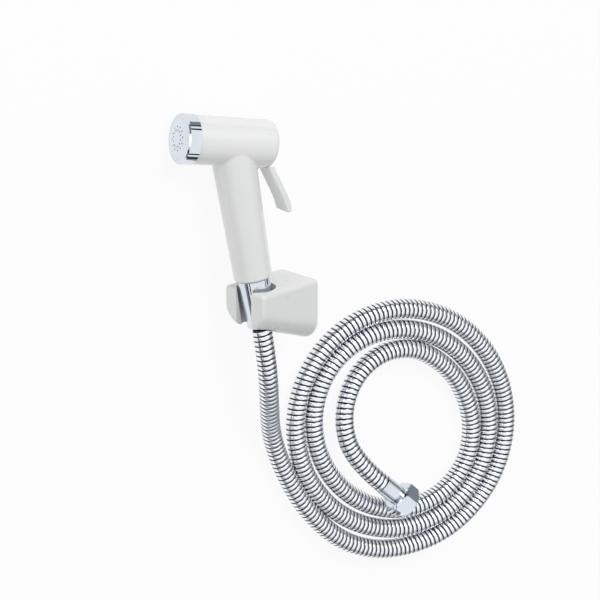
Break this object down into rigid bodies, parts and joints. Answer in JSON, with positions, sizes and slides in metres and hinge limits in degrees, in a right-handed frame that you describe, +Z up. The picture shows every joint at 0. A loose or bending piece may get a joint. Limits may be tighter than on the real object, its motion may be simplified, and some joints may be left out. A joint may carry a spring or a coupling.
{
  "type": "handheld bidet shower",
  "caption": "Handheld bidet shower lying with its U-shaped wall holder: T-shaped white handset with a chrome nozzle, a thumb lever and a coiled metal hose with a hexagonal nut.",
  "frame": {"origin": "on the floor, under the middle of the box round the handset and holder", "axes": "+Z up from the floor the set lies on, +Y from the cone nut toward the barrel, +X toward the holder's wall face"},
  "size_m": [0.283, 0.3616, 0.0503],
  "materials": {
    "white_abs": "gloss moulded",
    "white_lever": "gloss moulded",
    "bright_chrome": "polished plate",
    "black_rubber": "soft",
    "inner_plastic": "plain moulded",
    "brass_parts": "machined",
    "steel_parts": "drawn",
    "white_holder": "gloss moulded",
    "hose_steel": "polished interlocked strip"
  },
  "bodies": {
    "housing": {"body_shell": "white_abs", "rear_cap": "white_abs", "lever_pin": "steel_parts", "nozzle_collar": "bright_chrome", "spray_face": "bright_chrome", "face_gasket": "black_rubber", "flow_diffuser": "inner_plastic", "valve_seat": "brass_parts", "stem_seal": "black_rubber", "return_spring": "steel_parts", "water_tube": "inner_plastic", "inlet_adapter": "brass_parts", "cone_nut": "bright_chrome", "cone_washer": "black_rubber", "hose_ferrule_top": "brass_parts", "holder_body": "white_holder", "hose_lead": "hose_steel", "hose_coil": "hose_steel", "hose_tail": "hose_steel", "end_ferrule": "bright_chrome", "inlet_washer": "black_rubber"},
    "lever_body": {"lever": "white_lever"},
    "stem_body": {"valve_stem": "steel_parts", "valve_washer": "black_rubber"},
    "nut_body": {"inlet_nut": "bright_chrome"}
  },
  "joints": [
    {"name": "lever_pivot", "type": "hinge", "parent": "housing", "child": "lever_body", "pos_m": [0.01392, 0.04718, 0.02177], "axis": [0.044, -0.0743, -0.9963], "range_deg": [0, 12], "stiffness_Nm_per_rad": 0.5, "springref_deg": -5.73},
    {"name": "stem_slide", "type": "slide", "parent": "housing", "child": "stem_body", "axis": [0.984, -0.1694, 0.0561], "range_m": [0, 0.00231], "deforming": ["return_spring"]},
    {"name": "inlet_nut_spin", "type": "hinge", "parent": "housing", "child": "nut_body", "pos_m": [0.12533, -0.22163, 0.02862], "axis": [0.7129, -0.6794, 0.174], "continuous": true}
  ],
  "couplings": [
    {"joint": "stem_slide", "follows": "lever_pivot", "m_per_rad": 0.011}
  ]
}
